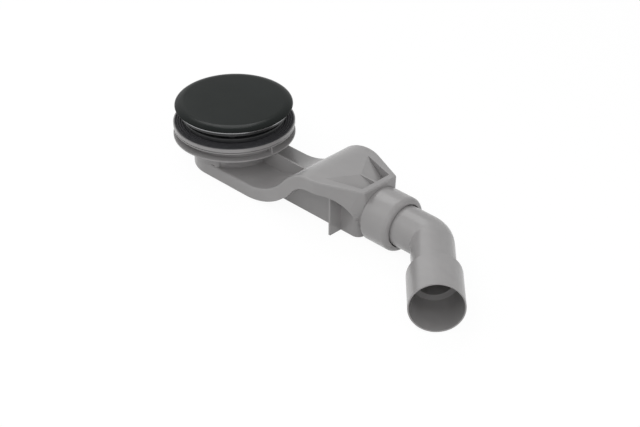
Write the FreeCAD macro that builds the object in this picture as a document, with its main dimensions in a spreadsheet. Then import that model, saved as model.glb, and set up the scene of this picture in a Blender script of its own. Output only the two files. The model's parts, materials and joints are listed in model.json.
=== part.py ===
import FreeCAD, Part
import math
import os
import types
import Sketcher
from FreeCAD import Placement, Rotation, Vector

# Low-profile waste trap for a shower tray or bath with a 90 mm waste hole.
# Millimetres. The origin is on the drain axis, level with the top of the tray gasket.
# +Z is up, +X runs along the flat duct to the outlet, and the elbow turns towards -Y.

# Driving dimensions: name, value, what it measures. A level is a height above the origin.
SIZES = (
    ("clamp_sleeve_radius", 44.0, "outside radius of the sleeve that passes the tray's hole"),
    ("duct_inset", 4.0, "from that sleeve's outside in to the duct's side and round end"),
    ("duct_height", 13.0, "outside height of the flat duct"),
    ("duct_wall", 2.5, "wall of the duct and neck"),
    ("base_level", -44.8, "underside of the duct and of the skirt"),
    ("knee_reach", 57.5, "from the drain axis to the start of the ramp"),
    ("ramp_angle", 48.0, "slope of the ramp up to the weir"),
    ("knee_bend", 65.0, "radius of the bend at the foot of the ramp, on the duct's upper face"),
    ("weir_bend", 43.0, "radius of the bend at the head of the ramp, on the duct's upper face"),
    ("weir_rise", 41.8, "rise of the duct from the sump to the roof"),
    ("hood_length", 52.0, "from the head of the ramp to the outer face of the end plate"),
    ("taper_length", 45.2, "length over which the hood narrows, to the face of the end plate"),
    ("taper_bend", 40.0, "plan radius of the hood's side where it narrows"),
    ("hood_end_half_width", 21.4, "half width of the end plate"),
    ("hood_corner", 4.0, "plan radius of the end plate's corners"),
    ("end_plate", 6.5, "thickness of the end plate"),
    ("drop_length", 39.2, "from where the hood's underside turns down to the end plate's face"),
    ("drop_excess", 1.5, "radius of that turn, over its length"),
    ("drop_end_inset", 4.2, "from the outer face of the end plate back to the end of that bend"),
    ("rim_round", 2.0, "rounding of the duct's upper edges"),
    ("pocket_corner_inset", 11.5, "from the duct's side to the outer tip of each roof pocket"),
    ("pocket_length", 43.7, "from each roof pocket's outer tip to the face of the end plate"),
    ("pocket_middle_length", 24.7, "from the pockets' middle tip to the face of the end plate"),
    ("pocket_rim", 6.5, "width of the rim outside each roof pocket"),
    ("outlet_hub_radius", 23.7, "radius of the hub that the pocket floors wrap"),
    ("roof_rib", 1.8, "thickness of the rib between the roof pockets"),
    ("outlet_level", -20.5, "axis of the outlet"),
    ("pipe_radius", 20.0, "outside radius of the inlet side of the elbow"),
    ("pipe_wall", 1.8, "wall of the elbow"),
    ("trough_radius", 18.3, "outside radius of the trough behind the end plate"),
    ("trough_length", 21.2, "length of the trough, up to the end plate"),
    ("plate_disc_step", 1.2, "how far the end plate's round foot stands out from the stub"),
    ("stub_wall", 2.55, "wall of the outlet stub round its socket"),
    ("stub_length", 17.0, "length of the outlet stub"),
    ("stub_socket", 12.0, "depth of the socket in the stub"),
    ("pipe_clearance", 0.25, "between the elbow's pipe and its socket"),
    ("skirt_start_offset", 8.5, "from the start of the ramp to the start of the support skirt"),
    ("skirt_end_inset", 9.4, "from the end plate's face back to the end of the support skirt"),
    ("skirt_half_width", 18.3, "half width of the support skirt"),
    ("skirt_wall", 2.2, "wall of the support skirt"),
    ("skirt_corner", 7.5, "outside corner radius of the support skirt"),
    ("cross_rib_inset", 33.0, "from the end plate's face back to the middle of the cross rib"),
    ("rib_thickness", 2.0, "thickness of the cross rib and of the deck rib"),
    ("deck_rib_level", -15.0, "top of the rib that runs along the deck"),
    ("lower_flange_reach", 8.3, "from the barrel out to the rim of the lower flange"),
    ("lower_flange_level", -13.2, "top of the lower flange"),
    ("lower_flange_thickness", 1.4, "thickness of the lower flange"),
    ("shelf_level", -12.4, "top of the shelf that carries the clamp flange"),
    ("barrel_clearance", 4.5, "from the sleeve out to the barrel, the wall round it"),
    ("barrel_wall", 2.5, "thickness of the barrel, which joins the two flanges"),
    ("lip_reach", 7.8, "from the barrel out to the rim of the upper flange's thin lip"),
    ("lip_thickness", 1.0, "thickness of the lip"),
    ("seat_reach", 6.3, "from the barrel out to the rim of the seat above the lip"),
    ("seat_thickness", 2.0, "thickness of the upper flange at its seat"),
    ("groove_rib_angle", -4.0, "angle of the first rib in the groove between the flanges"),
    ("groove_rib_reach", 6.0, "how far the groove's ribs stand out from the barrel"),
    ("carrier_reach", 8.1, "from the barrel out to the rim of the gasket carrier"),
    ("carrier_clearance", 1.5, "from the sleeve out to the inside of the gasket carrier"),
    ("carrier_level", -4.2, "underside of the gasket carrier"),
    ("carrier_rim", 1.0, "width of the carrier's rim round the gasket"),
    ("gasket_clearance", 3.0, "from the sleeve out to the inside of the tray gasket"),
    ("gasket_thickness", 2.3, "thickness of the tray gasket over its ridges"),
    ("gasket_ridge_height", 0.9, "height of the ridges on the tray gasket"),
    ("gasket_rim_drop", 0.8, "from the top of the gasket down to the carrier's rim"),
    ("clamp_reach", 6.0, "from the sleeve out to the rim of the clamp flange"),
    ("clamp_top", 5.7, "top of the clamp flange"),
    ("clamp_thickness", 3.0, "thickness of the clamp flange's rim"),
    ("clamp_sleeve_wall", 2.0, "wall of the sleeve"),
    ("clamp_foot", 2.5, "thickness of the foot inside the sleeve"),
    ("foot_land", 7.0, "from the circle of clamp screws in to the bore in the foot"),
    ("seal_clearance", 1.0, "from the sleeve out to the inside of the flange seal"),
    ("seal_width", 4.0, "width of the flange seal"),
    ("seal_thickness", 1.6, "thickness of the flange seal"),
    ("screw_inset", 4.0, "from the inside of the sleeve in to the circle of clamp screws"),
    ("screw_angle", 22.5, "angle of the first clamp screw"),
    ("screw_radius", 2.0, "radius of the screw's thread"),
    ("screw_head_radius", 4.0, "radius of the screw's head"),
    ("screw_head_height", 2.0, "height of the countersunk head"),
    ("screw_length", 16.0, "length of the screw over its head"),
    ("screw_point", 0.4, "chamfer round the screw's point"),
    ("recess_width", 0.9, "width of the cross recess in the head"),
    ("recess_depth", 1.6, "depth of the cross recess in the head"),
    ("screw_clearance", 0.05, "between the screw and what it goes through"),
    ("insert_radius", 2.9, "outside radius of the brass insert"),
    ("insert_length", 10.0, "length of the brass insert"),
    ("boss_radius", 4.0, "radius of the screw bosses"),
    ("basket_clearance", 0.4, "between the foot's bore and the strainer basket"),
    ("basket_wall", 1.5, "wall of the strainer basket"),
    ("basket_depth", 22.0, "from the basket's rim down to its underside"),
    ("basket_rim_lap", 2.5, "how far the basket's rim laps over the foot"),
    ("basket_rim_thickness", 1.5, "thickness of the basket's rim and lifting bar"),
    ("basket_bar_width", 4.0, "width of the lifting bar"),
    ("basket_slot_width", 5.0, "width of the slots in the basket"),
    ("basket_slot_height", 12.0, "height of the slots in the basket"),
    ("basket_hole_radius", 2.5, "radius of the holes in the basket's floor"),
    ("basket_hole_circle", 17.0, "radius of the circle of those holes"),
    ("o_ring_radius", 0.8, "radius of the O-ring's section"),
    ("cap_radius", 57.2, "largest radius of the cover cap"),
    ("cap_top", 21.0, "top of the cover cap"),
    ("cap_round", 4.2, "rounding of the cap's upper edge"),
    ("cap_taper", 2.2, "how far the cap's skirt tapers in at its lower edge"),
    ("cap_bottom", 14.9, "lower edge of the cap"),
    ("cap_wall", 1.8, "wall of the cap"),
    ("trim_thickness", 0.8, "thickness of the trim ring under the cap"),
    ("trim_reach", 0.2, "how far the trim ring stands out from the cap's lower edge"),
    ("support_inset", 1.8, "from the cap's lower edge in to the rim of the cover carrier"),
    ("support_level", 10.5, "underside of the cover carrier"),
    ("support_rim", 2.0, "height of the cover carrier's rim"),
    ("support_neck", 1.0, "how far the carrier steps in above its rim"),
    ("support_plate", 1.6, "thickness of the cover carrier's plate"),
    ("support_wall", 1.4, "thickness of the wall that carries the cap"),
    ("support_step", 1.6, "width of the shoulder that carries the trim ring"),
    ("leg_reach", 3.0, "how far the cover carrier's feet stand out past the sleeve"),
    ("leg_depth", 4.4, "depth of those feet, towards the drain axis"),
    ("leg_half_width", 3.0, "half width of the cover carrier's feet"),
    ("collar_wall", 3.2, "wall of the outlet collar"),
    ("collar_length", 30.0, "length of the outlet collar"),
    ("collar_gap", 0.3, "between the end plate and the collar"),
    ("collar_round", 5.0, "rounding of the collar's front edge"),
    ("collar_clearance", 0.3, "between the collar's bore and the stub"),
    ("mouth_clearance", 1.0, "between the collar's mouth and the pipe"),
    ("outlet_seal_length", 6.0, "length of the outlet seal"),
    ("slip_ring_thickness", 1.5, "thickness of the slip ring"),
    ("elbow_lead", 46.2, "from the stub's end to the corner of the elbow"),
    ("elbow_angle", 45.7, "turn of the elbow"),
    ("elbow_throat", 0.6, "radius of the inside of the elbow's bend"),
    ("elbow_neck", 56.2, "from the corner of the elbow to its shoulder"),
    ("spigot_radius", 25.0, "outside radius of the elbow's plain end"),
    ("spigot_wall", 1.2, "wall of the elbow's plain end"),
    ("spigot_length", 46.9, "length of the elbow's plain end"),
    ("spigot_floor", 2.0, "thickness of the elbow's shoulder"),
)
SCREWS = 4
GROOVE_RIBS = 2
GASKET_RIDGES = 5
# Each ridge's corners: share of the pitch from its outer foot, and share of its height down
RIDGE_PROFILE = ((0.25, 0.0), (0.55, 0.0), (0.8, 1.0), (1.0, 1.0))
BASKET_SLOTS = 12
BASKET_HOLES = 8
FEET = 4


class Size:
    """A number together with the sheet expression that gives it."""

    def __init__(self, number, text):
        self.number = number
        self.text = text

    def __add__(self, other):
        return combine(self, other, "+", self.number + number_of(other))

    def __radd__(self, other):
        return combine(other, self, "+", number_of(other) + self.number)

    def __sub__(self, other):
        return combine(self, other, "-", self.number - number_of(other))

    def __rsub__(self, other):
        return combine(other, self, "-", number_of(other) - self.number)

    def __mul__(self, other):
        return combine(self, other, "*", self.number * number_of(other))

    def __rmul__(self, other):
        return combine(other, self, "*", number_of(other) * self.number)

    def __truediv__(self, other):
        return combine(self, other, "/", self.number / number_of(other))

    def __neg__(self):
        return combine(0, self, "-", -self.number)


def number_of(value):
    return value.number if isinstance(value, Size) else float(value)


def text_of(value):
    if isinstance(value, Size):
        return value.text
    return "(0 - %r)" % -value if value < 0 else repr(value)


def combine(first, second, sign, number):
    return Size(number, "(%s %s %s)" % (text_of(first), sign, text_of(second)))


def sine(angle):
    return Size(math.sin(math.radians(number_of(angle))), "sin(%s)" % text_of(angle))


def cosine(angle):
    return Size(math.cos(math.radians(number_of(angle))), "cos(%s)" % text_of(angle))


def tangent(angle):
    return Size(math.tan(math.radians(number_of(angle))), "tan(%s)" % text_of(angle))


def arctangent(ratio):
    return Size(math.degrees(math.atan(number_of(ratio))), "(atan(%s) / 1deg)" % text_of(ratio))


def root(value):
    return Size(math.sqrt(number_of(value)), "sqrt(%s)" % text_of(value))


def bind(target, name, value):
    """Set a property to a size, and tie it to the sheet."""
    if isinstance(value, Size):
        target.setExpression(name, value.text)
    else:
        setattr(target, name, value)


document = FreeCAD.newDocument("waste_trap")
sheet = document.addObject("Spreadsheet::Sheet", "sizes")
d = types.SimpleNamespace()
for row, (alias, amount, note) in enumerate(SIZES, start=1):
    sheet.set("A%d" % row, note)
    sheet.set("B%d" % row, repr(amount))
    sheet.setAlias("B%d" % row, alias)
    setattr(d, alias, Size(amount, "sizes." + alias))
document.recompute()


# Sketches

def new_body(name):
    body = document.addObject("PartDesign::Body", name)
    body.Label = name
    return body


def new_sketch(body, name, role, offset=0.0):
    """A sketch on one of the body's own origin planes, moved along the plane's normal."""
    sketch = body.newObject("Sketcher::SketchObject", name)
    planes = [f for f in body.Origin.OriginFeatures if f.Role == role]
    sketch.AttachmentSupport = [(planes[0], "")]
    sketch.MapMode = "FlatFace"
    sketch.AttachmentOffset = Placement(Vector(0, 0, number_of(offset)), Rotation())
    if isinstance(offset, Size):
        sketch.setExpression("AttachmentOffset.Base.z", offset.text)
    return sketch


def constrain(sketch, kind, geometry, point, value, name):
    if point is None:
        constraint = Sketcher.Constraint(kind, geometry, number_of(value))
    else:
        constraint = Sketcher.Constraint(kind, geometry, point, number_of(value))
    index = sketch.addConstraint(constraint)
    if isinstance(value, Size):
        sketch.renameConstraint(index, name)
        sketch.setExpression("Constraints." + name, value.text)


def arc_between(start, end, radius):
    """The short arc from start to end: anticlockwise for a positive radius."""
    middle = (start + end) * 0.5
    chord = end - start
    half = chord.Length / 2
    rise = math.sqrt(max(radius * radius - half * half, 0.0))
    normal = Vector(-chord.y, chord.x, 0).normalize()
    side = 1 if radius > 0 else -1
    centre = middle + normal * rise * side
    first, last = (start, end) if radius > 0 else (end, start)
    angles = [math.atan2(p.y - centre.y, p.x - centre.x) for p in (first, last)]
    circle = Part.Circle(centre, Vector(0, 0, 1), abs(radius))
    return Part.ArcOfCircle(circle, angles[0], angles[1])


def draw_outline(sketch, corners):
    """A closed outline through corners (x, y) or (x, y, radius of the arc that leads there)."""
    places = [Vector(number_of(c[0]), number_of(c[1]), 0) for c in corners]
    edges = []
    for index, corner in enumerate(corners):
        start, end = places[index - 1], places[index]
        bend = corner[2] if len(corner) > 2 else None
        if bend is None:
            edges.append((sketch.addGeometry(Part.LineSegment(start, end)), 1, 2))
            continue
        geometry = sketch.addGeometry(arc_between(start, end, number_of(bend)))
        clockwise = number_of(bend) < 0
        edges.append((geometry, 2, 1) if clockwise else (geometry, 1, 2))
    for index, (geometry, _, tail) in enumerate(edges):
        following, head, _ = edges[(index + 1) % len(edges)]
        sketch.addConstraint(Sketcher.Constraint("Coincident", geometry, tail, following, head))
    for corner, (geometry, _, tail) in zip(corners, edges):
        name = "g%dn" % geometry
        constrain(sketch, "DistanceX", geometry, tail, corner[0], name + "x")
        constrain(sketch, "DistanceY", geometry, tail, corner[1], name + "y")
        if len(corner) > 2:
            bend = corner[2] if number_of(corner[2]) > 0 else -corner[2]
            constrain(sketch, "Radius", geometry, None, bend, name + "r")


def draw_circle(sketch, x, y, radius):
    centre = Vector(number_of(x), number_of(y), 0)
    circle = Part.Circle(centre, Vector(0, 0, 1), number_of(radius))
    geometry = sketch.addGeometry(circle)
    name = "g%dn" % geometry
    constrain(sketch, "DistanceX", geometry, 3, x, name + "x")
    constrain(sketch, "DistanceY", geometry, 3, y, name + "y")
    constrain(sketch, "Radius", geometry, None, radius, name + "r")


def rectangle(left, low, right, high):
    return [(left, low), (right, low), (right, high), (left, high)]


def spoke(angle, inner, outer, half_width):
    """The plan of a radial bar, as four corners."""
    across, along = sine(angle), cosine(angle)
    corners = []
    for radius, side in ((inner, -half_width), (outer, -half_width), (outer, half_width),
                         (inner, half_width)):
        corners.append((radius * along - side * across, radius * across + side * along))
    return corners


def on_circle(radius, angle):
    return radius * cosine(angle), radius * sine(angle)


# Features

def extrude(body, kind, name, sketch, length, symmetric=False, reverse=False):
    feature = body.newObject("PartDesign::" + kind, name)
    feature.Profile = sketch
    feature.Type = 0
    feature.SideType = "Symmetric" if symmetric else "One side"
    feature.Reversed = reverse
    bind(feature, "Length", length)
    return feature


def revolve(body, kind, name, sketch):
    feature = body.newObject("PartDesign::" + kind, name)
    feature.Profile = sketch
    feature.ReferenceAxis = (sketch, ["V_Axis"])
    bind(feature, "Angle", 360.0)
    return feature


def turned(name, *outlines):
    """A body turned about its own Z axis from outlines of (radius, level)."""
    body = new_body(name)
    sketch = new_sketch(body, name + "_section", "XZ_Plane")
    for outline in outlines:
        draw_outline(sketch, outline)
    revolve(body, "Revolution", name + "_turned", sketch)
    return body


def turned_circle(name, ring_radius, level, radius):
    body = new_body(name)
    sketch = new_sketch(body, name + "_section", "XZ_Plane")
    draw_circle(sketch, ring_radius, level, radius)
    revolve(body, "Revolution", name + "_turned", sketch)
    return body


def cylinder(name, radius, length, place, direction):
    """A cylinder from place along direction, which is X, Z or the outlet's slanted run."""
    shape = document.addObject("Part::Cylinder", name)
    bind(shape, "Radius", radius)
    bind(shape, "Height", length)
    rotation = Rotation(Vector(0, 0, 1), direction)
    put(shape, place, rotation)
    return shape


def put(shape, place, rotation=Rotation()):
    """Give an object its Placement, tied to the sheet."""
    shape.Placement = Placement(Vector(*[number_of(p) for p in place]), rotation)
    for axis, amount in zip("xyz", place):
        if isinstance(amount, Size):
            shape.setExpression("Placement.Base." + axis, amount.text)


def join(name, shapes):
    fused = document.addObject("Part::MultiFuse", name)
    fused.Shapes = shapes
    fused.Label = name
    return fused


def subtract(name, base, tool):
    cut = document.addObject("Part::Cut", name)
    cut.Base = base
    cut.Tool = tool
    cut.Label = name
    return cut


def overlap(name, base, tool):
    common = document.addObject("Part::Common", name)
    common.Base = base
    common.Tool = tool
    common.Label = name
    return common


X_AXIS = Vector(1, 0, 0)
Z_AXIS = Vector(0, 0, 1)
FAR = 400.0
MARGIN = 1.0
TOLERANCE = 0.01

# Radii, levels and places that follow from the driving dimensions
duct_half_width = d.clamp_sleeve_radius - d.duct_inset
barrel_inner = d.clamp_sleeve_radius + d.barrel_clearance
barrel_radius = barrel_inner + d.barrel_wall
carrier_radius = barrel_radius + d.carrier_reach
carrier_inner = d.clamp_sleeve_radius + d.carrier_clearance
gasket_radius = carrier_radius - d.carrier_rim
sleeve_inner = d.clamp_sleeve_radius - d.clamp_sleeve_wall
screw_circle = sleeve_inner - d.screw_inset
foot_bore = screw_circle - d.foot_land
cap_lower_radius = d.cap_radius - d.cap_taper
support_radius = cap_lower_radius - d.support_inset
elbow_bend = d.pipe_radius + d.elbow_throat
stub_bore = d.pipe_radius + d.pipe_clearance
stub_radius = stub_bore + d.stub_wall
collar_bore = stub_radius + d.collar_clearance
collar_radius = collar_bore + d.collar_wall
deck_level = d.base_level + d.duct_height
roof_level = deck_level + d.weir_rise
both_bends = d.knee_bend + d.weir_bend
ramp_rise = d.weir_rise - both_bends * (1 - cosine(d.ramp_angle))
weir_reach = (d.knee_reach + both_bends * sine(d.ramp_angle)
              + ramp_rise / tangent(d.ramp_angle))
hood_end = weir_reach + d.hood_length
plate_inner = hood_end - d.end_plate
taper_start = hood_end - d.taper_length
taper_angle = arctangent((duct_half_width - d.hood_end_half_width) / d.taper_length)
drop_start = hood_end - d.drop_length
drop_end = hood_end - d.drop_end_inset
drop_bend = drop_end - drop_start + d.drop_excess
pocket_start = hood_end - d.pocket_length
skirt_start = d.knee_reach + d.skirt_start_offset
skirt_end = hood_end - d.skirt_end_inset
cross_rib_place = hood_end - d.cross_rib_inset
foot_level = d.shelf_level + d.clamp_foot
lower_flange_bottom = d.lower_flange_level - d.lower_flange_thickness
lip_bottom = d.carrier_level - d.seat_thickness
neck_inner = duct_half_width - d.duct_wall
stub_end = hood_end + d.stub_length
elbow_reach = stub_end + d.elbow_lead


def hood_half_width(reach):
    """Half width of the tapered hood at a reach from the drain axis."""
    return duct_half_width - (reach - taper_start) * tangent(taper_angle)


def duct_line(depth, start):
    """The duct's lengthwise line, at a depth below its upper face, from start to the weir."""
    low = deck_level - depth
    outer = d.knee_bend + depth
    inner = d.weir_bend - depth
    knee_top = deck_level + d.knee_bend
    weir_centre = roof_level - d.weir_bend
    rise = sine(d.ramp_angle)
    drop = cosine(d.ramp_angle)
    return [
        (start, low),
        (d.knee_reach, low),
        (d.knee_reach + outer * rise, knee_top - outer * drop, outer),
        (weir_reach - inner * rise, weir_centre + inner * drop),
        (weir_reach, roof_level - depth, -inner),
    ]


def drop_line(depth, reach):
    """The hood's underside from the weir to a reach, at a depth below the roof."""
    radius = drop_bend + d.duct_height - depth
    centre = roof_level - d.duct_height - drop_bend
    run = reach - drop_start
    level = centre + root(radius * radius - run * run)
    return [(drop_start, roof_level - depth), (reach, level, -radius)]


def plan_outline(inset, end):
    """The duct's outline seen from above, inset all round, up to a plane at end."""
    half = duct_half_width - inset
    half_turn = (90 - taper_angle) / 2
    narrowing = taper_start - inset * tangent(taper_angle / 2)
    end_half = half - (end - narrowing) * tangent(taper_angle)
    bend = d.taper_bend - inset
    setback = bend * tangent(taper_angle / 2)
    bend_x = narrowing + setback * cosine(taper_angle)
    bend_y = half - setback * sine(taper_angle)
    corner = d.hood_corner * tangent(half_turn)
    side_x = end - corner * cosine(taper_angle)
    side_y = end_half + corner * sine(taper_angle)
    return [
        (0.0 * half, half),
        (-half, 0.0 * half, half),
        (0.0 * half, -half, half),
        (narrowing - setback, -half),
        (bend_x, -bend_y, bend),
        (side_x, -side_y),
        (end, corner - end_half, d.hood_corner),
        (end, end_half - corner),
        (side_x, side_y, d.hood_corner),
        (bend_x, bend_y),
        (narrowing - setback, half, bend),
    ]


def trim_to_plan(body, name, inset, end):
    """Cut away everything outside the duct's outline."""
    sketch = new_sketch(body, name + "_plan", "XY_Plane")
    draw_outline(sketch, rectangle(-FAR, -FAR, FAR, FAR))
    draw_outline(sketch, plan_outline(inset, end))
    extrude(body, "Pocket", name, sketch, 2 * FAR, symmetric=True)


# The trap moulding: skirt, duct, neck and flanges in one, before it is hollowed and parted

def add_skirt(body):
    """Support walls under the ramp and hood, trimmed along the underside of the duct."""
    half, wall, round_ = d.skirt_half_width, d.skirt_wall, d.skirt_corner
    plan = new_sketch(body, "skirt_plan", "XY_Plane", d.base_level)
    for inset in (0.0 * wall, wall):
        side, end, bend = half - inset, skirt_end - inset, round_ - inset
        draw_outline(plan, [
            (skirt_start + inset, -side),
            (end - bend, -side),
            (end, bend - side, bend),
            (end, side - bend),
            (end - bend, side, bend),
            (skirt_start + inset, side),
        ])
    extrude(body, "Pad", "skirt", plan, roof_level - d.base_level)
    rib_plan = new_sketch(body, "cross_rib_plan", "XY_Plane", d.base_level)
    reach = hood_half_width(cross_rib_place) - d.duct_wall
    half_rib = d.rib_thickness / 2
    draw_outline(rib_plan, rectangle(cross_rib_place - half_rib, -reach,
                                     cross_rib_place + half_rib, reach))
    extrude(body, "Pad", "cross_rib", rib_plan, roof_level - d.base_level)
    depth = d.duct_height - d.duct_wall / 2
    above = new_sketch(body, "above_underside", "XZ_Plane")
    draw_outline(above, duct_line(depth, skirt_start - MARGIN)
                 + drop_line(depth, plate_inner)
                 + [(plate_inner, roof_level + MARGIN),
                    (skirt_start - MARGIN, roof_level + MARGIN)])
    extrude(body, "Pocket", "skirt_trim", above, 4 * duct_half_width, symmetric=True)


def reversed_line(line):
    """The same line run backwards, with each arc's radius moved and its sense turned."""
    backwards = []
    for index in range(len(line) - 1, -1, -1):
        point = line[index][:2]
        if index + 1 < len(line) and len(line[index + 1]) > 2:
            backwards.append(point + (-line[index + 1][2],))
        else:
            backwards.append(point)
    return backwards


def add_duct(body):
    """The S-shaped flat duct and its hood, trimmed to plan, with rounded upper edges."""
    side = new_sketch(body, "duct_side", "XZ_Plane")
    left = -duct_half_width
    lower = duct_line(d.duct_height, left)
    lower += drop_line(d.duct_height, drop_end)
    upper = duct_line(0.0 * d.duct_height, left) + [(hood_end, roof_level)]
    lower.append((hood_end, lower[-1][1]))
    draw_outline(side, lower + reversed_line(upper))
    extrude(body, "Pad", "duct", side, 2 * duct_half_width, symmetric=True)
    trim_to_plan(body, "duct_trim", 0.0, hood_end)
    document.recompute()
    square = body.Tip
    fillet = body.newObject("PartDesign::Fillet", "duct_rim")
    fillet.Base = (square, rim_edges(square.Shape))
    bind(fillet, "Radius", d.rim_round)


def rim_edges(shape):
    """Names of the edges where an upright face meets one that looks up."""
    names = []
    for index, edge in enumerate(shape.Edges, start=1):
        middle = edge.valueAt((edge.FirstParameter + edge.LastParameter) / 2)
        if middle.z < deck_level.number - TOLERANCE:
            continue
        tilts = []
        for face in shape.ancestorsOfType(edge, Part.Face):
            tilts.append(face.normalAt(*face.Surface.parameter(middle)).z)
        if len(tilts) == 2 and abs(min(tilts)) < TOLERANCE and max(tilts) > 0.5:
            names.append("Edge%d" % index)
    return names


def add_neck(body):
    """Neck, shelf, barrel and the two flanges, turned in one, with the groove's ribs."""
    section = new_sketch(body, "neck_section", "XZ_Plane")
    neck_foot = deck_level - 2 * d.rim_round
    lower_rim = barrel_radius + d.lower_flange_reach
    lip_rim = barrel_radius + d.lip_reach
    seat_rim = barrel_radius + d.seat_reach
    draw_outline(section, [
        (neck_inner, neck_foot),
        (duct_half_width, neck_foot),
        (duct_half_width, lower_flange_bottom),
        (lower_rim, lower_flange_bottom),
        (lower_rim, d.lower_flange_level),
        (barrel_radius, d.lower_flange_level),
        (barrel_radius, lip_bottom),
        (lip_rim, lip_bottom),
        (lip_rim, lip_bottom + d.lip_thickness),
        (seat_rim, lip_bottom + d.lip_thickness),
        (seat_rim, d.carrier_level),
        (barrel_inner, d.carrier_level),
        (barrel_inner, d.shelf_level),
        (neck_inner, d.shelf_level),
    ])
    revolve(body, "Revolution", "neck", section)
    ribs = new_sketch(body, "groove_rib_plan", "XY_Plane", d.lower_flange_level)
    for index in range(GROOVE_RIBS):
        angle = d.groove_rib_angle + index * 360.0 / GROOVE_RIBS
        inner = barrel_radius - d.barrel_wall / 2
        outer = barrel_radius + d.groove_rib_reach
        draw_outline(ribs, spoke(angle, inner, outer, d.rib_thickness / 2))
    extrude(body, "Pad", "groove_ribs", ribs, lip_bottom - d.lower_flange_level)


def add_deck_rib(body):
    """The upright rib along the middle of the deck, from the neck to the ramp."""
    side = new_sketch(body, "deck_rib_side", "XZ_Plane")
    foot = deck_level - d.duct_wall / 2
    start = duct_half_width - d.duct_wall / 2
    radius = d.knee_bend + d.duct_wall / 2
    left_over = radius - (d.deck_rib_level - foot)
    run = root(radius * radius - left_over * left_over)
    draw_outline(side, [
        (start, foot),
        (d.knee_reach, foot),
        (d.knee_reach + run, d.deck_rib_level, radius),
        (start, d.deck_rib_level),
    ])
    extrude(body, "Pad", "deck_rib", side, d.rib_thickness, symmetric=True)


def add_bosses(body):
    """The screw bosses on the neck, from the deck up to the shelf, with stepped holes."""
    plan = new_sketch(body, "boss_plan", "XY_Plane", deck_level - MARGIN)
    wide = new_sketch(body, "insert_hole_plan", "XY_Plane", d.shelf_level)
    narrow = new_sketch(body, "screw_hole_plan", "XY_Plane", d.shelf_level)
    for index in range(SCREWS):
        x, y = on_circle(screw_circle, d.screw_angle + index * 360.0 / SCREWS)
        draw_circle(plan, x, y, d.boss_radius)
        draw_circle(wide, x, y, d.insert_radius)
        draw_circle(narrow, x, y, d.screw_radius + d.screw_clearance)
    extrude(body, "Pad", "bosses", plan, lower_flange_bottom - deck_level + 2 * MARGIN)
    extrude(body, "Pocket", "insert_holes", wide, d.insert_length)
    extrude(body, "Pocket", "screw_holes", narrow, d.screw_length)


def add_outlet(body):
    """Trough inside the skirt, round foot of the end plate, and the outlet stub."""
    for name, start, end, radius in (
            ("trough", plate_inner - d.trough_length, plate_inner, d.trough_radius),
            ("plate_disc", plate_inner, hood_end, stub_radius + d.plate_disc_step),
            ("stub", hood_end - MARGIN, stub_end, stub_radius)):
        sketch = new_sketch(body, name + "_circle", "YZ_Plane", start)
        draw_circle(sketch, 0.0, d.outlet_level, radius)
        extrude(body, "Pad", name, sketch, end - start)


def make_moulding():
    body = new_body("moulding")
    add_skirt(body)
    add_duct(body)
    add_neck(body)
    add_deck_rib(body)
    add_bosses(body)
    add_outlet(body)
    return body


def roof_cone(name, side, drop):
    """The space over one pocket floor, fanned out from the pocket's outer tip.

    The floor is a flat facet from the roof's edge, then a fan that wraps the outlet hub.
    A drop lowers the whole floor by one wall, for the space that the duct leaves under it.
    """
    tip_y = duct_half_width - d.pocket_corner_inset
    fan = (d.pocket_length - d.end_plate) / (d.pocket_length - d.pocket_middle_length)
    edge_y = tip_y - fan * tip_y
    edge_z = roof_level - drop - d.outlet_level
    hub = d.outlet_hub_radius - drop
    span = root(edge_y * edge_y + edge_z * edge_z)
    lean = arctangent((0 - edge_y) / edge_z)
    reach = arctangent(root(span * span - hub * hub) / hub)
    touch = reach - lean
    touch_y, touch_z = hub * sine(touch), hub * cosine(touch)
    rim_y = hood_half_width(plate_inner) - d.pocket_rim
    side_y = rim_y + 0.0 * drop
    side_z = root(hub * hub - side_y * side_y)
    outer_y = side_y + 2 * drop
    top = roof_level + d.duct_height
    section = document.addObject("Sketcher::SketchObject", name + "_section")
    rotation = Rotation(Vector(1, 1, 1), 120)
    put(section, (plate_inner, 0.0, 0.0), rotation)
    corners = [
        (edge_y, d.outlet_level + edge_z),
        (touch_y, d.outlet_level + touch_z),
        (side_y, d.outlet_level + side_z, -hub),
    ]
    if drop.number > 0:
        corners.append((outer_y, d.outlet_level + side_z))
    corners.append((outer_y, top))
    if side < 0:
        corners = [(-c[0], c[1]) + tuple(-bend for bend in c[2:]) for c in corners]
    draw_outline(section, corners)
    tip = document.addObject("Part::Vertex", name + "_tip")
    bind(tip, "X", pocket_start)
    bind(tip, "Y", side * tip_y)
    bind(tip, "Z", roof_level - drop)
    cone = document.addObject("Part::Loft", name)
    cone.Sections = [tip, section]
    cone.Solid = True
    cone.Ruled = True
    return cone


def make_pocket(side):
    """One roof pocket: the space over its floor, on its own side of the middle rib."""
    name = "pocket_%s" % ("left" if side > 0 else "right")
    cone = roof_cone(name + "_cone", side, 0.0 * d.duct_wall)
    half = document.addObject("Part::Box", name + "_side")
    bind(half, "Length", hood_end)
    bind(half, "Width", duct_half_width)
    bind(half, "Height", 2 * d.duct_height + d.weir_rise)
    near = d.roof_rib / 2 if side > 0 else 0 - d.roof_rib / 2 - duct_half_width
    put(half, (0.0, near, d.outlet_level - d.duct_height))
    return overlap(name, cone, half)


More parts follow.
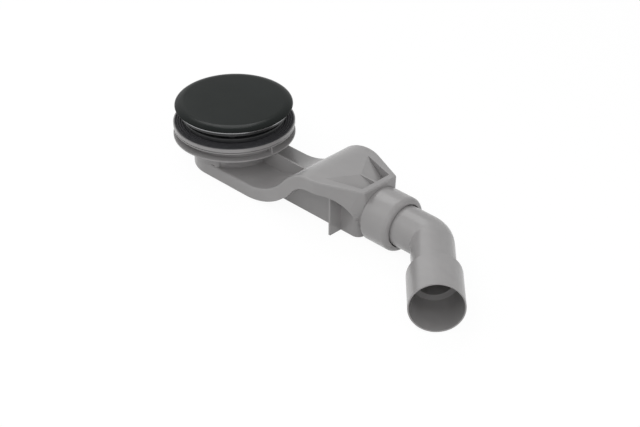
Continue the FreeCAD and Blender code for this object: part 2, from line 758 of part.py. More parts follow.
def make_water_way():
    """The space inside: sump, ramp, weir, outlet trough, bore and socket."""
    wall = d.duct_wall
    body = new_body("water_space")
    side = new_sketch(body, "water_side", "XZ_Plane")
    left = wall - duct_half_width
    depth = d.duct_height - wall
    lower = duct_line(depth, left) + drop_line(depth, plate_inner)
    upper = duct_line(wall, left) + [(plate_inner, roof_level - wall)]
    draw_outline(side, lower + reversed_line(upper))
    extrude(body, "Pad", "water_pad", side, 2 * neck_inner, symmetric=True)
    trim_to_plan(body, "water_trim", wall, plate_inner + d.hood_corner)
    guards = join("pocket_guards", [roof_cone("guard_left", 1, wall),
                                    roof_cone("guard_right", -1, wall)])
    sump = subtract("duct_space", body, guards)
    inlet = cylinder("inlet_space", neck_inner, wall + 2 * MARGIN,
                     (0.0, 0.0, deck_level - wall - MARGIN), Z_AXIS)
    bore = d.pipe_radius - d.pipe_wall
    trough = cylinder("trough_space", d.trough_radius - d.skirt_wall,
                      d.trough_length - d.skirt_wall + MARGIN,
                      (plate_inner - d.trough_length + d.skirt_wall, 0.0, d.outlet_level),
                      X_AXIS)
    outlet = cylinder("outlet_space", bore, stub_end - plate_inner + 2 * MARGIN,
                      (plate_inner - MARGIN, 0.0, d.outlet_level), X_AXIS)
    socket = cylinder("socket_space", stub_bore,
                      d.stub_socket + MARGIN, (stub_end - d.stub_socket, 0.0, d.outlet_level),
                      X_AXIS)
    return join("water_way", [sump, inlet, trough, outlet, socket])


def make_parting_block():
    """Everything below the weld line, which runs along the middle of the duct's side."""
    body = new_body("parting_block")
    side = new_sketch(body, "parting_side", "XZ_Plane")
    line = duct_line(d.duct_height / 2, -2 * duct_half_width)
    draw_outline(side, line + [
        (plate_inner, roof_level - d.duct_height / 2),
        (plate_inner, roof_level + d.duct_height),
        (stub_end + d.duct_height, roof_level + d.duct_height),
        (stub_end + d.duct_height, 2 * d.base_level),
        (-2 * duct_half_width, 2 * d.base_level),
    ])
    extrude(body, "Pad", "parting_pad", side, 4 * duct_half_width, symmetric=True)
    return body


def make_trap_shells():
    """The upper and lower mouldings, welded along the duct's side in the real product."""
    pockets = join("roof_pockets", [make_pocket(1), make_pocket(-1)])
    outside = subtract("pocketed_moulding", make_moulding(), pockets)
    hollow = subtract("hollow_moulding", outside, make_water_way())
    block = make_parting_block()
    return [subtract("trap_upper_shell", hollow, block),
            overlap("trap_lower_shell", hollow, block)]


# Drain fittings, all turned about the drain axis

def make_gasket_carrier():
    rim_top = 0 - d.gasket_rim_drop
    floor = 0 - d.gasket_thickness
    return turned("gasket_carrier", [
        (carrier_inner, d.carrier_level),
        (carrier_radius, d.carrier_level),
        (carrier_radius, rim_top),
        (gasket_radius, rim_top),
        (gasket_radius, floor),
        (carrier_inner, floor),
    ])


def make_tray_gasket():
    """Rubber ring with fine concentric ridges on its upper face."""
    inner = d.clamp_sleeve_radius + d.gasket_clearance
    pitch = (gasket_radius - inner) / GASKET_RIDGES
    low = 0 - d.gasket_ridge_height
    bottom = 0 - d.gasket_thickness
    corners = [(inner, bottom), (gasket_radius, bottom), (gasket_radius, low)]
    for index in range(GASKET_RIDGES):
        start = gasket_radius - index * pitch
        for share, level in RIDGE_PROFILE:
            corners.append((start - share * pitch, level * low))
    return turned("tray_gasket", corners)


def make_clamp_flange():
    """Black flange with its sleeve and foot, countersunk for the clamp screws."""
    rim_bottom = d.clamp_top - d.clamp_thickness
    rim = d.clamp_sleeve_radius + d.clamp_reach
    edge = d.clamp_thickness / 3
    body = turned("clamp_flange_blank", [
        (sleeve_inner, foot_level),
        (sleeve_inner, d.clamp_top - edge),
        (sleeve_inner + edge, d.clamp_top, -edge),
        (rim - edge, d.clamp_top),
        (rim, d.clamp_top - edge, -edge),
        (rim, rim_bottom),
        (d.clamp_sleeve_radius, rim_bottom),
        (d.clamp_sleeve_radius, d.shelf_level),
        (foot_bore, d.shelf_level),
        (foot_bore, foot_level),
    ])
    holes = new_sketch(body, "clamp_hole_plan", "XY_Plane", foot_level)
    for index in range(SCREWS):
        x, y = on_circle(screw_circle, d.screw_angle + index * 360.0 / SCREWS)
        draw_circle(holes, x, y, d.screw_radius + d.screw_clearance)
    extrude(body, "Pocket", "clamp_holes", holes, d.clamp_foot + MARGIN)
    sinks = []
    for index in range(SCREWS):
        x, y = on_circle(screw_circle, d.screw_angle + index * 360.0 / SCREWS)
        sink = document.addObject("Part::Cone", "countersink_%d" % (index + 1))
        bind(sink, "Radius1", d.screw_radius + d.screw_clearance)
        bind(sink, "Radius2", d.screw_head_radius + d.screw_clearance)
        bind(sink, "Height", d.screw_head_height)
        put(sink, (x, y, foot_level - d.screw_head_height))
        sinks.append(sink)
    return subtract("clamp_flange", body, join("countersinks", sinks))


def make_flange_seal():
    top = d.clamp_top - d.clamp_thickness
    inner = d.clamp_sleeve_radius + d.seal_clearance
    return turned("flange_seal",
                  rectangle(inner, top - d.seal_thickness, inner + d.seal_width, top))


def make_strainer_basket():
    """Slotted basket that hangs by its rim in the clamp flange, with a bar to lift it by."""
    rim_top = foot_level + d.basket_rim_thickness
    rim = foot_bore + d.basket_rim_lap
    outer = foot_bore - d.basket_clearance
    inner = outer - d.basket_wall
    floor_bottom = foot_level - d.basket_depth
    floor_top = floor_bottom + d.basket_wall
    groove_floor = foot_bore - 2 * d.o_ring_radius
    groove_top = o_ring_level() + d.o_ring_radius
    groove_bottom = o_ring_level() - d.o_ring_radius
    collar_inner = groove_floor - d.basket_wall
    collar_bottom = groove_bottom - 2 * d.basket_wall
    body = turned("strainer_basket", [
        (0.0 * inner, floor_bottom),
        (outer, floor_bottom),
        (outer, groove_bottom),
        (groove_floor, groove_bottom),
        (groove_floor, groove_top),
        (outer, groove_top),
        (outer, foot_level),
        (rim, foot_level),
        (rim, rim_top),
        (collar_inner, rim_top),
        (collar_inner, collar_bottom),
        (inner, collar_bottom - (inner - collar_inner)),
        (inner, floor_top),
        (0.0 * inner, floor_top),
    ])
    slots = new_sketch(body, "basket_slot_plan", "XY_Plane", floor_top + d.basket_wall)
    for index in range(BASKET_SLOTS):
        angle = (index + 0.5) * 360.0 / BASKET_SLOTS
        draw_outline(slots, spoke(angle, inner - d.basket_wall,
                                  outer + d.basket_wall, d.basket_slot_width / 2))
    cut = extrude(body, "Pocket", "basket_slots", slots, d.basket_slot_height)
    cut.Reversed = True
    holes = new_sketch(body, "basket_hole_plan", "XY_Plane", floor_top + MARGIN)
    draw_circle(holes, 0.0, 0.0, d.basket_hole_radius)
    for index in range(BASKET_HOLES):
        x, y = on_circle(d.basket_hole_circle, index * 360.0 / BASKET_HOLES)
        draw_circle(holes, x, y, d.basket_hole_radius)
    extrude(body, "Pocket", "basket_holes", holes, d.basket_wall + 2 * MARGIN)
    bar = new_sketch(body, "basket_bar_plan", "XY_Plane", rim_top - d.basket_rim_thickness)
    reach = collar_inner + d.basket_wall / 2
    draw_outline(bar, rectangle(-reach, -d.basket_bar_width / 2, reach, d.basket_bar_width / 2))
    extrude(body, "Pad", "basket_bar", bar, d.basket_rim_thickness)
    return body


def o_ring_level():
    """Middle of the O-ring: halfway down the foot's bore."""
    return foot_level - d.clamp_foot / 2


def make_strainer_o_ring():
    return turned_circle("strainer_o_ring", foot_bore - d.o_ring_radius, o_ring_level(),
                         d.o_ring_radius)


def make_clamp_screw(index):
    """Countersunk screw with a cross recess."""
    name = "clamp_screw_%d" % (index + 1)
    thread = d.screw_radius - d.screw_clearance
    top = 0.0 * thread
    body = turned(name, [
        (top, -d.screw_length),
        (thread - d.screw_point, -d.screw_length),
        (thread, 2 * d.screw_point - d.screw_length),
        (thread, 0 - d.screw_head_height),
        (d.screw_head_radius, top),
        (top, top),
    ])
    for turn in range(2):
        cross = new_sketch(body, "%s_cross_%d" % (name, turn), "XY_Plane")
        draw_outline(cross, spoke(90.0 * turn, -d.screw_radius, d.screw_radius,
                                  d.recess_width / 2))
        extrude(body, "Pocket", "%s_recess_%d" % (name, turn), cross, d.recess_depth)
    x, y = on_circle(screw_circle, d.screw_angle + index * 360.0 / SCREWS)
    put(body, (x, y, foot_level))
    return body


def make_thread_insert(index):
    name = "thread_insert_%d" % (index + 1)
    body = turned(name, rectangle(d.screw_radius, -d.insert_length, d.insert_radius, 0.0))
    x, y = on_circle(screw_circle, d.screw_angle + index * 360.0 / SCREWS)
    put(body, (x, y, d.shelf_level))
    return body


# Cover

def make_cover_cap():
    """Flat-topped cap with a rounded edge and a skirt that tapers in."""
    flat = d.cap_radius - d.cap_round
    widest = d.cap_top - d.cap_round
    under = d.cap_round - d.cap_wall
    axis = 0.0 * flat
    return turned("cover_cap", [
        (axis, d.cap_top - d.cap_wall),
        (flat, d.cap_top - d.cap_wall),
        (flat + under, widest, -under),
        (cap_lower_radius - d.cap_wall, d.cap_bottom),
        (cap_lower_radius, d.cap_bottom),
        (d.cap_radius, widest),
        (flat, d.cap_top, d.cap_round),
        (axis, d.cap_top),
    ])


def make_cover_trim_ring():
    inner = support_radius - d.support_step
    low = d.cap_bottom - d.trim_thickness
    outer = cap_lower_radius + d.trim_reach
    return turned("cover_trim_ring", rectangle(inner, low, outer, d.cap_bottom))


def make_cover_carrier():
    """Plate and ring under the cap, standing on feet on the clamp flange."""
    shoulder = d.cap_bottom - d.trim_thickness
    ring = support_radius - d.support_step
    neck = support_radius - d.support_neck
    rim_top = d.support_level + d.support_rim
    ceiling = d.cap_top - d.cap_wall
    plate_top = d.support_level + d.support_plate
    body = turned("cover_carrier", [
        (0.0 * ring, d.support_level),
        (support_radius, d.support_level),
        (support_radius, rim_top),
        (neck, rim_top),
        (neck, shoulder),
        (ring, shoulder),
        (ring, ceiling),
        (ring - d.support_wall, ceiling),
        (ring - d.support_wall, plate_top),
        (0.0 * ring, plate_top),
    ])
    feet = new_sketch(body, "carrier_feet_plan", "XY_Plane", d.clamp_top)
    outer = d.clamp_sleeve_radius + d.leg_reach
    for index in range(FEET):
        angle = (index + 0.5) * 360.0 / FEET
        draw_outline(feet, spoke(angle, outer - d.leg_depth, outer, d.leg_half_width))
    extrude(body, "Pad", "carrier_feet", feet,
            d.support_level - d.clamp_top + d.support_plate / 2)
    return body


# Outlet

def along_outlet(body, reach):
    """Lay a turned body along the outlet axis, from a reach from the drain axis."""
    put(body, (reach, 0.0, d.outlet_level), Rotation(Vector(0, 1, 0), 90))
    return body


def make_outlet_collar():
    """Smooth union nut: bore over the stub, shoulder for the slip ring, open mouth."""
    start = 0.0 * d.collar_gap
    shoulder = d.stub_length - d.collar_gap + d.outlet_seal_length + d.slip_ring_thickness
    mouth = d.pipe_radius + d.mouth_clearance
    body = turned("outlet_collar", [
        (collar_bore, start),
        (collar_radius, start),
        (collar_radius, d.collar_length - d.collar_round),
        (collar_radius - d.collar_round, d.collar_length, d.collar_round),
        (mouth, d.collar_length),
        (mouth, shoulder),
        (collar_bore, shoulder),
    ])
    return along_outlet(body, hood_end + d.collar_gap)


def make_outlet_seal():
    """Tapered rubber seal between the stub's end and the elbow's pipe."""
    body = turned("outlet_seal", [
        (d.pipe_radius, 0.0 * d.pipe_radius),
        (stub_radius, 0.0 * d.pipe_radius),
        (stub_radius, d.outlet_seal_length),
        (d.pipe_radius, d.outlet_seal_length),
    ])
    return along_outlet(body, stub_end)


def make_outlet_slip_ring():
    body = turned("outlet_slip_ring",
                  rectangle(stub_bore, 0.0 * d.pipe_radius,
                            stub_radius, d.slip_ring_thickness))
    return along_outlet(body, stub_end + d.outlet_seal_length)


def elbow_run(name, radius, near, far):
    """A straight run of the elbow after its bend, between two distances from its corner."""
    across = cosine(d.elbow_angle)
    down = sine(d.elbow_angle)
    place = (elbow_reach + near * across, 0 - near * down, d.outlet_level)
    angle = math.radians(d.elbow_angle.number)
    direction = Vector(math.cos(angle), -math.sin(angle), 0)
    return cylinder(name, radius, far - near, place, direction)


def elbow_core(name, radius, start, end):
    """Pipe, bend and pipe of one radius, from a reach on the axis to a run past the corner."""
    turn_in = elbow_bend * tangent(d.elbow_angle / 2)
    first = cylinder(name + "_inlet", radius, elbow_reach - turn_in - start,
                     (start, 0.0, d.outlet_level), X_AXIS)
    bend = document.addObject("Part::Torus", name + "_bend")
    bind(bend, "Radius1", elbow_bend)
    bind(bend, "Radius2", radius)
    bind(bend, "Angle3", d.elbow_angle)
    put(bend, (elbow_reach - turn_in, 0 - elbow_bend, d.outlet_level),
        Rotation(Z_AXIS, 90.0 - d.elbow_angle.number))
    last = elbow_run(name + "_outlet", radius, turn_in, end)
    return join(name, [first, bend, last])


def make_outlet_elbow():
    """Elbow moulded in one: pipe for the union, bend, shoulder and plain end."""
    start = stub_end - d.stub_socket + d.collar_gap
    end = d.elbow_neck + d.spigot_length
    outside = elbow_core("elbow_outside", d.pipe_radius, start, d.elbow_neck + MARGIN)
    spigot = elbow_run("spigot_outside", d.spigot_radius, d.elbow_neck, end)
    bore = elbow_core("elbow_bore", d.pipe_radius - d.pipe_wall, start - MARGIN,
                      d.elbow_neck + d.spigot_floor + MARGIN)
    mouth = elbow_run("spigot_bore", d.spigot_radius - d.spigot_wall,
                      d.elbow_neck + d.spigot_floor, end + MARGIN)
    return subtract("outlet_elbow", join("elbow_solid", [outside, spigot]),
                    join("elbow_space", [bore, mouth]))


def check_document():
    for item in document.Objects:
        for state in item.State:
            if state in ("Invalid", "Error"):
                raise RuntimeError("%s is %s" % (item.Label, state))


def write_parts(pieces):
    os.makedirs("parts", exist_ok=True)
    for piece in pieces:
        label, shape = piece.Label, piece.Shape
        if shape.isNull() or not shape.isValid():
            raise RuntimeError("%s has no valid shape" % label)
        if len(shape.Solids) != 1:
            raise RuntimeError("%s has %d solids" % (label, len(shape.Solids)))
        shape.exportStep("parts/%s.step" % label)
        box = shape.BoundBox
        print("%-18s volume %9.1f  x %7.1f %7.1f  y %7.1f %7.1f  z %6.1f %6.1f" % (
            label, shape.Volume, box.XMin, box.XMax, box.YMin, box.YMax, box.ZMin, box.ZMax))


pieces = make_trap_shells()
pieces += [make_gasket_carrier(), make_tray_gasket(), make_clamp_flange(), make_flange_seal()]
pieces += [make_strainer_basket(), make_strainer_o_ring()]
pieces += [make_clamp_screw(index) for index in range(SCREWS)]
pieces += [make_thread_insert(index) for index in range(SCREWS)]
pieces += [make_cover_cap(), make_cover_trim_ring(), make_cover_carrier()]
pieces += [make_outlet_collar(), make_outlet_seal(), make_outlet_slip_ring()]
pieces += [make_outlet_elbow()]
document.recompute()
check_document()
write_parts(pieces)
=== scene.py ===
"""Low-profile waste trap for a shower tray or bath, in metres.

The origin is on the drain axis, level with the top of the tray gasket. +Z is up,
+X runs along the flat duct to the outlet, and the elbow turns towards -Y.
"""

import json
import math

import bmesh
import bpy
from mathutils import Matrix, Vector


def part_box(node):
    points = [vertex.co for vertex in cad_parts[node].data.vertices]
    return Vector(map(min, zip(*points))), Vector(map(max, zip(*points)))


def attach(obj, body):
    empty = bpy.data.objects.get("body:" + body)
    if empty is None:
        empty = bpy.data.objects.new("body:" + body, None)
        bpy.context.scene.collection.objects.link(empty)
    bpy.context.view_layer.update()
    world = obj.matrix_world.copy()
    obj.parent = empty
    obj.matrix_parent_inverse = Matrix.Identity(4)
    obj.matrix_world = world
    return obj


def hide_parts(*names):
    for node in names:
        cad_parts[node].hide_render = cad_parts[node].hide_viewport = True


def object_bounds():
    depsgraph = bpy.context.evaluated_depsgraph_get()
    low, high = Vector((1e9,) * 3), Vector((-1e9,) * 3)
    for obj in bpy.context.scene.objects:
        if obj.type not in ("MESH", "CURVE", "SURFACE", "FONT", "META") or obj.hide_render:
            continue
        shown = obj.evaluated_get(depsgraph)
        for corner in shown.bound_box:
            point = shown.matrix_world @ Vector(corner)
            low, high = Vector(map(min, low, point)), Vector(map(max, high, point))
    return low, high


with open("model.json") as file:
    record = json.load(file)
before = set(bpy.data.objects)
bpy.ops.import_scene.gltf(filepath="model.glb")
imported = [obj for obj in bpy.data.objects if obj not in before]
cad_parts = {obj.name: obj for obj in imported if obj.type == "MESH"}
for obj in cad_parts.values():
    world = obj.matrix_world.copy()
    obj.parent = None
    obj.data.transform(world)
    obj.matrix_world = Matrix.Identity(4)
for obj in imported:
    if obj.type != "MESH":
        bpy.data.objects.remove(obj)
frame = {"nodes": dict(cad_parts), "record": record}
cad_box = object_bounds()
nodes = frame["nodes"]

# Camera, fitted to the photograph's frame of 640 by 427 pixels
CAMERA_AZIMUTH = 45.064
CAMERA_ELEVATION = 32.675
CAMERA_DISTANCE = 1.7112
CAMERA_PAN = (0.0831, -0.0923)
CAMERA_LENS = 99.35
SENSOR_WIDTH = 36.0
CLIP_START = 0.05
CLIP_END = 20.0

# Cover cap: its edge is a quarter of an ellipse outside, and a tighter one inside
CAP_EDGE_WIDTH = 0.0092
CAP_EDGE_HEIGHT = 0.0044
CAP_INSIDE_WIDTH = 0.0036
CAP_TAPER = 0.0022
CAP_WALL = 0.0018
CAP_EDGE_STEPS = 14
CAP_SEGMENTS = 160
CREASE = math.radians(40.0)
QUARTER_TURN = math.radians(90.0)
WELD = 1e-6

# The end plate's round foot: the outlet's level, the foot's ends along x, its
# radius in the solids, and the radii that it is drawn in to at its two ends
OUTLET_LEVEL = -0.0205
FOOT_START = 0.18872
FOOT_END = 0.19522
FOOT_RADIUS = 0.024
FOOT_SLIM = (0.0212, 0.0229)
RADIUS_SLACK = 0.0002
SHARE_SLACK = 0.05

# Lamps: name, azimuth and elevation in degrees, width and height in metres,
# watts, and whether surfaces reflect the lamp
LAMP_DISTANCE = 1.6
LAMPS = (
    ("left_panel", -124.0, 36.0, 2.6, 1.35, 6.1, True),
    ("upper_panel", -166.0, 57.0, 1.0, 0.7, 3.7, True),
    ("key", -74.0, 55.0, 1.2, 1.2, 4.5, False),
    ("front", 0.0, 37.0, 1.2, 1.2, 8.8, False),
    ("right", 60.0, 30.0, 1.2, 1.2, 3.6, False),
)
# This strip lights the cap alone, for the sheen along its near left edge
CAP_STRIP = ("cap_strip", -168.5, 61.0, 0.6, 1.05, 9.6, True)

# World and floor: the light that the world gives, the white that is seen, the
# white of the floor's own glow, and the share of the floor that takes shadow
WORLD_LEVEL = 0.2
BACKGROUND = 1.0
FLOOR_WHITE = 1.05
FLOOR_SHADE = 0.1
FLOOR_COLOUR = (0.8, 0.8, 0.8, 1.0)
FLOOR_REACH = 6.0
WHITE = (1.0, 1.0, 1.0, 1.0)

# A noise mask lies mostly between these values
NOISE_LOW = 0.3
NOISE_HIGH = 0.7


def srgb(red, green, blue):
    """Linear colour of an 8-bit display colour."""
    values = []
    for level in (red, green, blue):
        part = level / 255
        values.append(part / 12.92 if part <= 0.04045 else ((part + 0.055) / 1.055) ** 2.4)
    return (*values, 1.0)


# Materials

class Recipe:
    """A node material under construction."""

    def __init__(self, name):
        self.material = bpy.data.materials.new(name)
        self.material.use_nodes = True
        self.tree = self.material.node_tree
        self.shader = self.tree.nodes["Principled BSDF"]
        self.place = self.tree.nodes.new("ShaderNodeTexCoord").outputs["Object"]

    def link(self, source, target):
        self.tree.links.new(source, target)

    def noise(self, scale, detail=2.0, stretch=None):
        """Noise over the object's own coordinates, from 0 to 1."""
        node = self.tree.nodes.new("ShaderNodeTexNoise")
        node.inputs["Scale"].default_value = scale
        node.inputs["Detail"].default_value = detail
        place = self.place
        if stretch:
            mapping = self.tree.nodes.new("ShaderNodeMapping")
            mapping.inputs["Scale"].default_value = stretch
            self.link(place, mapping.inputs["Vector"])
            place = mapping.outputs["Vector"]
        self.link(place, node.inputs["Vector"])
        return node.outputs["Fac"]

    def spread(self, mask, low, high):
        """Map a noise mask to the range from low to high."""
        node = self.tree.nodes.new("ShaderNodeMapRange")
        node.inputs["From Min"].default_value = NOISE_LOW
        node.inputs["From Max"].default_value = NOISE_HIGH
        node.inputs["To Min"].default_value = low
        node.inputs["To Max"].default_value = high
        self.link(mask, node.inputs["Value"])
        return node.outputs["Result"]

    def blend(self, mask, first, second, share=1.0):
        """Mix two colours, each a value or a socket, by a share of a noise mask."""
        node = self.tree.nodes.new("ShaderNodeMix")
        node.data_type = "RGBA"
        self.link(self.spread(mask, 0.0, share), node.inputs["Factor"])
        for slot, colour in ((6, first), (7, second)):
            if isinstance(colour, tuple):
                node.inputs[slot].default_value = colour
            else:
                self.link(colour, node.inputs[slot])
        return node.outputs[2]

    def bump(self, height, distance, after=None):
        """Surface normal raised by a height mask, on top of an earlier normal."""
        node = self.tree.nodes.new("ShaderNodeBump")
        node.inputs["Distance"].default_value = distance
        node.inputs["Strength"].default_value = 1.0
        self.link(height, node.inputs["Height"])
        if after is not None:
            self.link(after, node.inputs["Normal"])
        return node.outputs["Normal"]

    def finish(self, colour, roughness, normal=None, **fixed):
        """Link the sockets to the shader, and set its fixed values by name."""
        self.link(colour, self.shader.inputs["Base Color"])
        self.link(roughness, self.shader.inputs["Roughness"])
        if normal is not None:
            self.link(normal, self.shader.inputs["Normal"])
        for name, value in fixed.items():
            self.shader.inputs[name.replace("_", " ")].default_value = value
        return self.material


def grey_plastic():
    """Moulded grey polypropylene: faint flow marks and a fine satin grain."""
    recipe = Recipe("moulded_grey_plastic")
    base = recipe.blend(recipe.noise(28.0, detail=3.0), srgb(158, 156, 156), srgb(164, 162, 162))
    flow = recipe.noise(90.0, stretch=(0.25, 1.0, 1.0))
    colour = recipe.blend(flow, base, srgb(152, 151, 151), share=0.35)
    wave = recipe.bump(recipe.noise(60.0, detail=1.0), 0.0001)
    normal = recipe.bump(recipe.noise(2600.0, detail=1.0), 0.00002, after=wave)
    roughness = recipe.spread(recipe.noise(160.0), 0.21, 0.27)
    return recipe.finish(colour, roughness, normal)


def black_plastic():
    """Moulded black plastic with a fine grain."""
    recipe = Recipe("moulded_black_plastic")
    colour = recipe.blend(recipe.noise(60.0), srgb(30, 31, 32), srgb(37, 38, 39))
    normal = recipe.bump(recipe.noise(2200.0, detail=1.0), 0.00002)
    roughness = recipe.spread(recipe.noise(140.0), 0.36, 0.46)
    return recipe.finish(colour, roughness, normal)


def rubber():
    """Matt black rubber, slightly cloudy."""
    recipe = Recipe("matt_black_rubber")
    colour = recipe.blend(recipe.noise(45.0, detail=4.0), srgb(38, 38, 41), srgb(48, 48, 51))
    normal = recipe.bump(recipe.noise(3000.0), 0.00003)
    roughness = recipe.spread(recipe.noise(200.0), 0.62, 0.75)
    return recipe.finish(colour, roughness, normal)


def cap_coating():
    """Matt anthracite coating with a very fine orange peel."""
    recipe = Recipe("matt_anthracite_coating")
    colour = recipe.blend(recipe.noise(25.0, detail=3.0), srgb(31, 34, 33), srgb(34, 37, 36))
    peel = recipe.bump(recipe.noise(700.0, detail=1.0), 0.00001)
    normal = recipe.bump(recipe.noise(3500.0, detail=1.0), 0.00001, after=peel)
    roughness = recipe.spread(recipe.noise(120.0), 0.14, 0.18)
    return recipe.finish(colour, roughness, normal, Specular_IOR_Level=0.05)


def bright_trim():
    """Bright metal, brushed round the ring."""
    recipe = Recipe("bright_metal_trim")
    brushed = recipe.noise(900.0, stretch=(1.0, 1.0, 12.0))
    colour = recipe.blend(brushed, srgb(152, 153, 154), srgb(172, 173, 174))
    roughness = recipe.spread(brushed, 0.22, 0.34)
    return recipe.finish(colour, roughness, Metallic=1.0)


def stainless():
    """Plain stainless steel."""
    recipe = Recipe("plain_stainless_steel")
    turned = recipe.noise(1400.0)
    colour = recipe.blend(turned, srgb(186, 187, 188), srgb(208, 208, 207))
    roughness = recipe.spread(turned, 0.25, 0.38)
    return recipe.finish(colour, roughness, Metallic=1.0)


def brass():
    """Turned brass."""
    recipe = Recipe("turned_brass")
    turned = recipe.noise(1200.0)
    colour = recipe.blend(turned, srgb(190, 154, 84), srgb(214, 180, 108))
    roughness = recipe.spread(turned, 0.25, 0.4)
    return recipe.finish(colour, roughness, Metallic=1.0)


def white_plastic():
    """Natural white polypropylene."""
    recipe = Recipe("natural_white_plastic")
    colour = recipe.blend(recipe.noise(50.0, detail=3.0),
                          srgb(214, 214, 210), srgb(222, 222, 218))
    normal = recipe.bump(recipe.noise(2400.0, detail=1.0), 0.00002)
    roughness = recipe.spread(recipe.noise(150.0), 0.42, 0.52)
    return recipe.finish(colour, roughness, normal)


MAKERS = {
    "grey_plastic": grey_plastic,
    "black_plastic": black_plastic,
    "black_rubber": rubber,
    "cap_coating": cap_coating,
    "bright_trim": bright_trim,
    "stainless": stainless,
    "brass": brass,
    "white_plastic": white_plastic,
}


def paint_nodes(finishes):
    """Give every CAD node the procedural finish of its material slot."""
    for part in frame["record"]["subparts"]:
        for holder in nodes[part["node"]].material_slots:
            holder.material = finishes[part["material_slot"]]


# Pieces

def add_object(name, data):
    """A new object in the scene."""
    thing = bpy.data.objects.new(name, data)
    bpy.context.scene.collection.objects.link(thing)
    return thing


def stand_in(name, mesh, node, slot, finishes):
    """A piece that stands for a CAD node, in the finish of its material slot."""
    mesh.materials.clear()
    mesh.materials.append(finishes[slot])
    piece = add_object(name, mesh)
    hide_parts(node)
    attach(piece, "root")
    return piece


def quarter_ellipse(centre, width, level, height):
    """Points from the outermost one up to the top."""
    angles = [QUARTER_TURN * step / CAP_EDGE_STEPS for step in range(CAP_EDGE_STEPS + 1)]
    return [(centre + width * math.cos(angle), level + height * math.sin(angle))
            for angle in angles]


def make_cap(finishes):
    """The cover cap with the broad soft edge that its coating gives it."""
    low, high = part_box("cover_cap")
    radius = high.x
    widest = high.z - CAP_EDGE_HEIGHT
    skirt = radius - CAP_TAPER
    ceiling = high.z - CAP_WALL
    flat = radius - CAP_EDGE_WIDTH
    seat = radius - CAP_WALL - CAP_INSIDE_WIDTH
    outside = quarter_ellipse(flat, CAP_EDGE_WIDTH, widest, CAP_EDGE_HEIGHT)
    inside = quarter_ellipse(seat, CAP_INSIDE_WIDTH, widest, CAP_EDGE_HEIGHT - CAP_WALL)
    line = [(0.0, high.z), (flat * 0.5, high.z), *reversed(outside),
            (skirt, low.z), (skirt - CAP_WALL, low.z),
            *inside, (flat * 0.5, ceiling), (0.0, ceiling)]
    form = bmesh.new()
    loop = [form.verts.new((reach, 0.0, level)) for reach, level in line]
    edges = [form.edges.new(pair) for pair in zip(loop, loop[1:])]
    bmesh.ops.spin(form, geom=loop + edges, cent=(0, 0, 0), axis=(0, 0, 1),
                   angle=math.tau, steps=CAP_SEGMENTS)
    bmesh.ops.remove_doubles(form, verts=form.verts, dist=WELD)
    bmesh.ops.recalc_face_normals(form, faces=form.faces)
    for face in form.faces:
        face.smooth = True
    for edge in form.edges:
        if edge.calc_face_angle(0.0) > CREASE:
            edge.smooth = False
    mesh = bpy.data.meshes.new("soft_edged_cap")
    form.to_mesh(mesh)
    form.free()
    return stand_in("soft_edged_cap", mesh, "cover_cap", "cap_coating", finishes)


def make_slim_foot(finishes):
    """The lower shell, with the round foot of its end plate drawn in to the stub."""
    mesh = nodes["trap_lower_shell"].data.copy()
    mesh.name = "slim_foot_shell"
    for vertex in mesh.vertices:
        place, side, level = vertex.co
        reach = math.hypot(side, level - OUTLET_LEVEL)
        share = (place - FOOT_START) / (FOOT_END - FOOT_START)
        on_foot = -SHARE_SLACK < share < 1.0 + SHARE_SLACK
        if abs(reach - FOOT_RADIUS) > RADIUS_SLACK or not on_foot:
            continue
        slim = FOOT_SLIM[0] + (FOOT_SLIM[1] - FOOT_SLIM[0]) * share
        vertex.co.y = side * slim / reach
        vertex.co.z = OUTLET_LEVEL + (level - OUTLET_LEVEL) * slim / reach
    stand_in("slim_foot_shell", mesh, "trap_lower_shell", "grey_plastic", finishes)


# Stage

def direction(azimuth, elevation):
    """Unit vector from the part, by angles in degrees; azimuth 0 is the -Y side."""
    turn, rise = math.radians(azimuth), math.radians(elevation)
    return Vector((math.sin(turn) * math.cos(rise), -math.cos(turn) * math.cos(rise),
                   math.sin(rise)))


def make_camera():
    back = direction(CAMERA_AZIMUTH, CAMERA_ELEVATION)
    turn = math.radians(CAMERA_AZIMUTH)
    right = Vector((math.cos(turn), math.sin(turn), 0.0))
    up = back.cross(right)
    data = bpy.data.cameras.new("camera")
    data.lens = CAMERA_LENS
    data.sensor_width = SENSOR_WIDTH
    data.sensor_fit = "HORIZONTAL"
    data.clip_start = CLIP_START
    data.clip_end = CLIP_END
    camera = add_object("camera", data)
    place = back * CAMERA_DISTANCE + right * CAMERA_PAN[0] + up * CAMERA_PAN[1]
    facing = Matrix((right, up, back)).transposed().to_4x4()
    camera.matrix_world = Matrix.Translation(place) @ facing
    bpy.context.scene.camera = camera


def make_lamp(name, azimuth, elevation, width, height, watts, reflected):
    """A rectangular area lamp aimed at the middle of the part.

    The azimuth turns from the camera's side of the part towards the camera's right.
    A lamp that isn't reflected lights surfaces but shows in none of them.
    """
    low, high = cad_box
    away = direction(CAMERA_AZIMUTH + azimuth, elevation)
    data = bpy.data.lights.new(name, "AREA")
    data.shape = "RECTANGLE"
    data.size = width
    data.size_y = height
    data.energy = watts
    light = add_object(name, data)
    light.location = (low + high) / 2 + away * LAMP_DISTANCE
    light.rotation_euler = away.to_track_quat("Z", "Y").to_euler()
    light.visible_glossy = reflected
    return light


def make_lights(cap):
    for row in LAMPS:
        make_lamp(*row)
    lit = bpy.data.collections.new("lit_by_the_cap_strip")
    lit.objects.link(cap)
    make_lamp(*CAP_STRIP).light_linking.receiver_collection = lit


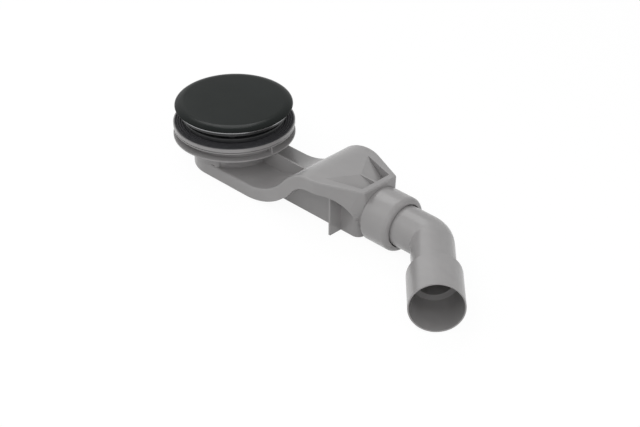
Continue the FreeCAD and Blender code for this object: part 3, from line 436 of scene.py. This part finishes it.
def seen_directly(tree):
    """A mask that is 1 for camera, glossy and glass rays, and 0 for the rays that light."""
    path = tree.nodes.new("ShaderNodeLightPath")
    seen = path.outputs["Is Camera Ray"]
    for name in ("Is Glossy Ray", "Is Transmission Ray"):
        either = tree.nodes.new("ShaderNodeMath")
        either.operation = "MAXIMUM"
        tree.links.new(seen, either.inputs[0])
        tree.links.new(path.outputs[name], either.inputs[1])
        seen = either.outputs[0]
    return seen


def make_world():
    """Plain white where it is seen, and a low even light everywhere else."""
    world = bpy.data.worlds.new("studio")
    bpy.context.scene.world = world
    world.use_nodes = True
    tree = world.node_tree
    background = tree.nodes["Background"]
    background.inputs["Color"].default_value = WHITE
    level = tree.nodes.new("ShaderNodeMapRange")
    level.inputs["To Min"].default_value = WORLD_LEVEL
    level.inputs["To Max"].default_value = BACKGROUND
    tree.links.new(seen_directly(tree), level.inputs["Value"])
    tree.links.new(level.outputs["Result"], background.inputs["Strength"])


def make_floor():
    """A white floor under the part, which keeps a faint share of its shadow."""
    level = cad_box[0].z
    corners = [(side * FLOOR_REACH, depth * FLOOR_REACH, level)
               for side, depth in ((-1, -1), (1, -1), (1, 1), (-1, 1))]
    mesh = bpy.data.meshes.new("floor")
    mesh.from_pydata(corners, [], [(0, 1, 2, 3)])
    floor = add_object("floor", mesh)
    material = bpy.data.materials.new("pale_floor")
    material.use_nodes = True
    tree = material.node_tree
    tree.nodes.clear()
    shade = tree.nodes.new("ShaderNodeBsdfDiffuse")
    shade.inputs["Color"].default_value = FLOOR_COLOUR
    white = tree.nodes.new("ShaderNodeEmission")
    white.inputs["Strength"].default_value = FLOOR_WHITE
    amount = tree.nodes.new("ShaderNodeMath")
    amount.operation = "MULTIPLY"
    amount.inputs[1].default_value = 1.0 - FLOOR_SHADE
    tree.links.new(seen_directly(tree), amount.inputs[0])
    mix = tree.nodes.new("ShaderNodeMixShader")
    tree.links.new(amount.outputs[0], mix.inputs["Fac"])
    tree.links.new(shade.outputs[0], mix.inputs[1])
    tree.links.new(white.outputs[0], mix.inputs[2])
    out = tree.nodes.new("ShaderNodeOutputMaterial")
    tree.links.new(mix.outputs[0], out.inputs["Surface"])
    mesh.materials.append(material)


bpy.context.scene.view_settings.view_transform = "Standard"
finishes = {slot: maker() for slot, maker in MAKERS.items()}
paint_nodes(finishes)
cap = make_cap(finishes)
make_slim_foot(finishes)
make_camera()
make_lights(cap)
make_world()
make_floor()
